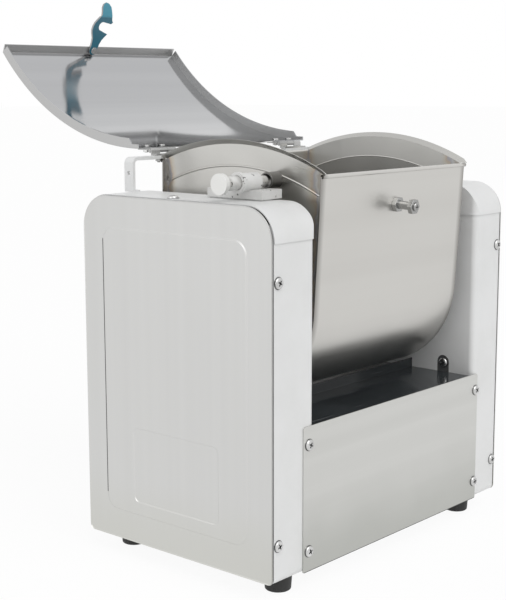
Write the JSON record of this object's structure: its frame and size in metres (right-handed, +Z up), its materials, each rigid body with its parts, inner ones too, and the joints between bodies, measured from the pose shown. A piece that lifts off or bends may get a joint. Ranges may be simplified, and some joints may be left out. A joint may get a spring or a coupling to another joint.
{
  "type": "dough mixer",
  "caption": "Small tilting dough mixer: stainless tub between two white side housings, shaft agitator with geared belt drive, curved hinged lid with hook, tilt lock.",
  "frame": {"origin": "below the middle of the bounding box, on the plane of the feet", "axes": "+X to the right seen from the front, +Y to the back, +Z up"},
  "size_m": [0.4828, 0.5694, 0.6939],
  "materials": {
    "white_paint": "satin",
    "stainless_brushed": "brushed",
    "tub_stainless": "satin",
    "tray_black": "glossy",
    "foot_rubber": "matte",
    "screw_steel": "polished",
    "hook_film": "protective film over steel",
    "cast_iron": "machined",
    "motor_paint": "satin",
    "gear_steel": "turned",
    "agitator_steel": "satin",
    "belt_rubber": "matte",
    "black_plastic": "matte",
    "green_plastic": "glossy",
    "red_plastic": "glossy"
  },
  "bodies": {
    "frame": {"casing_left": "white_paint", "casing_right": "white_paint", "cap_left": "white_paint", "cap_right": "white_paint", "cover_left": "stainless_brushed", "cover_right": "stainless_brushed", "cover_screws": "screw_steel", "plate_left": "cast_iron", "plate_right": "cast_iron", "front_panel": "stainless_brushed", "rear_panel": "white_paint", "panel_screws": "screw_steel", "base_tray": "tray_black", "base_floor": "white_paint", "feet": "foot_rubber", "foot_bolts": "screw_steel", "hinge_arm_left": "white_paint", "hinge_arm_right": "white_paint", "hinge_leaves": "screw_steel", "tilt_bearings": "cast_iron", "bridge_plate": "cast_iron", "bridge_posts": "gear_steel", "bridge_bearings": "gear_steel", "shaft_bearing_right": "gear_steel", "motor_body": "motor_paint", "motor_flange": "motor_paint", "motor_cradle": "cast_iron", "v_belt": "belt_rubber", "control_box": "black_plastic", "button_bezels": "black_plastic", "cord_gland": "black_plastic", "plunger_base": "white_paint", "plunger_housing": "white_paint"},
    "tub": {"tub_shell": "tub_stainless", "tub_end_left": "tub_stainless", "tub_end_right": "tub_stainless", "tub_rims": "tub_stainless", "trunnions": "cast_iron", "latch_stud": "screw_steel", "stud_nuts": "screw_steel", "lock_bush": "gear_steel"},
    "mixer": {"mix_shaft": "gear_steel", "agitator": "agitator_steel", "large_gear": "gear_steel"},
    "counter": {"counter_shaft": "gear_steel", "pinion": "gear_steel", "large_pulley": "cast_iron"},
    "rotor": {"motor_shaft": "gear_steel", "motor_pulley": "cast_iron"},
    "lid": {"lid_sheet": "tub_stainless", "lid_leaves": "screw_steel", "lid_screws": "screw_steel", "hook_screw": "screw_steel"},
    "hook": {"hook": "hook_film"},
    "lock": {"lock_pin": "gear_steel"},
    "start": {"start_button": "green_plastic"},
    "stop": {"stop_button": "red_plastic"}
  },
  "joints": [
    {"name": "tub_tilt", "type": "hinge", "parent": "frame", "child": "tub", "pos_m": [-0.0046, -0.12438, 0.325], "axis": [1, 0, 0], "range_deg": [0, 72]},
    {"name": "mixer_spin", "type": "hinge", "parent": "frame", "child": "mixer", "pos_m": [-0.0046, -0.12438, 0.325], "axis": [1, 0, 0], "continuous": true},
    {"name": "counter_spin", "type": "hinge", "parent": "frame", "child": "counter", "pos_m": [-0.2046, -0.12438, 0.23125], "axis": [1, 0, 0], "continuous": true},
    {"name": "rotor_spin", "type": "hinge", "parent": "frame", "child": "rotor", "pos_m": [-0.2046, -0.11238, 0.106], "axis": [1, 0, 0], "continuous": true},
    {"name": "lid_hinge", "type": "hinge", "parent": "frame", "child": "lid", "pos_m": [-0.0046, 0.01662, 0.496], "axis": [1, 0, 0], "range_deg": [0, 158.3]},
    {"name": "hook_swing", "type": "hinge", "parent": "lid", "child": "hook", "pos_m": [-0.0076, 0.27723, 0.62724], "axis": [0, -0.9252, -0.3795], "range_deg": [0, 60]},
    {"name": "lock_slide", "type": "slide", "parent": "frame", "child": "lock", "axis": [1, 0, 0], "range_m": [0, 0.0105]},
    {"name": "start_press", "type": "slide", "parent": "frame", "child": "start", "axis": [-1, 0, 0], "range_m": [0, 0.003], "stiffness_N_per_m": 400, "springref_m": -0.002},
    {"name": "stop_press", "type": "slide", "parent": "frame", "child": "stop", "axis": [-1, 0, 0], "range_m": [0, 0.003], "stiffness_N_per_m": 400, "springref_m": -0.002}
  ],
  "couplings": [
    {"joint": "counter_spin", "follows": "mixer_spin", "ratio": -4},
    {"joint": "rotor_spin", "follows": "mixer_spin", "ratio": -11.2}
  ]
}
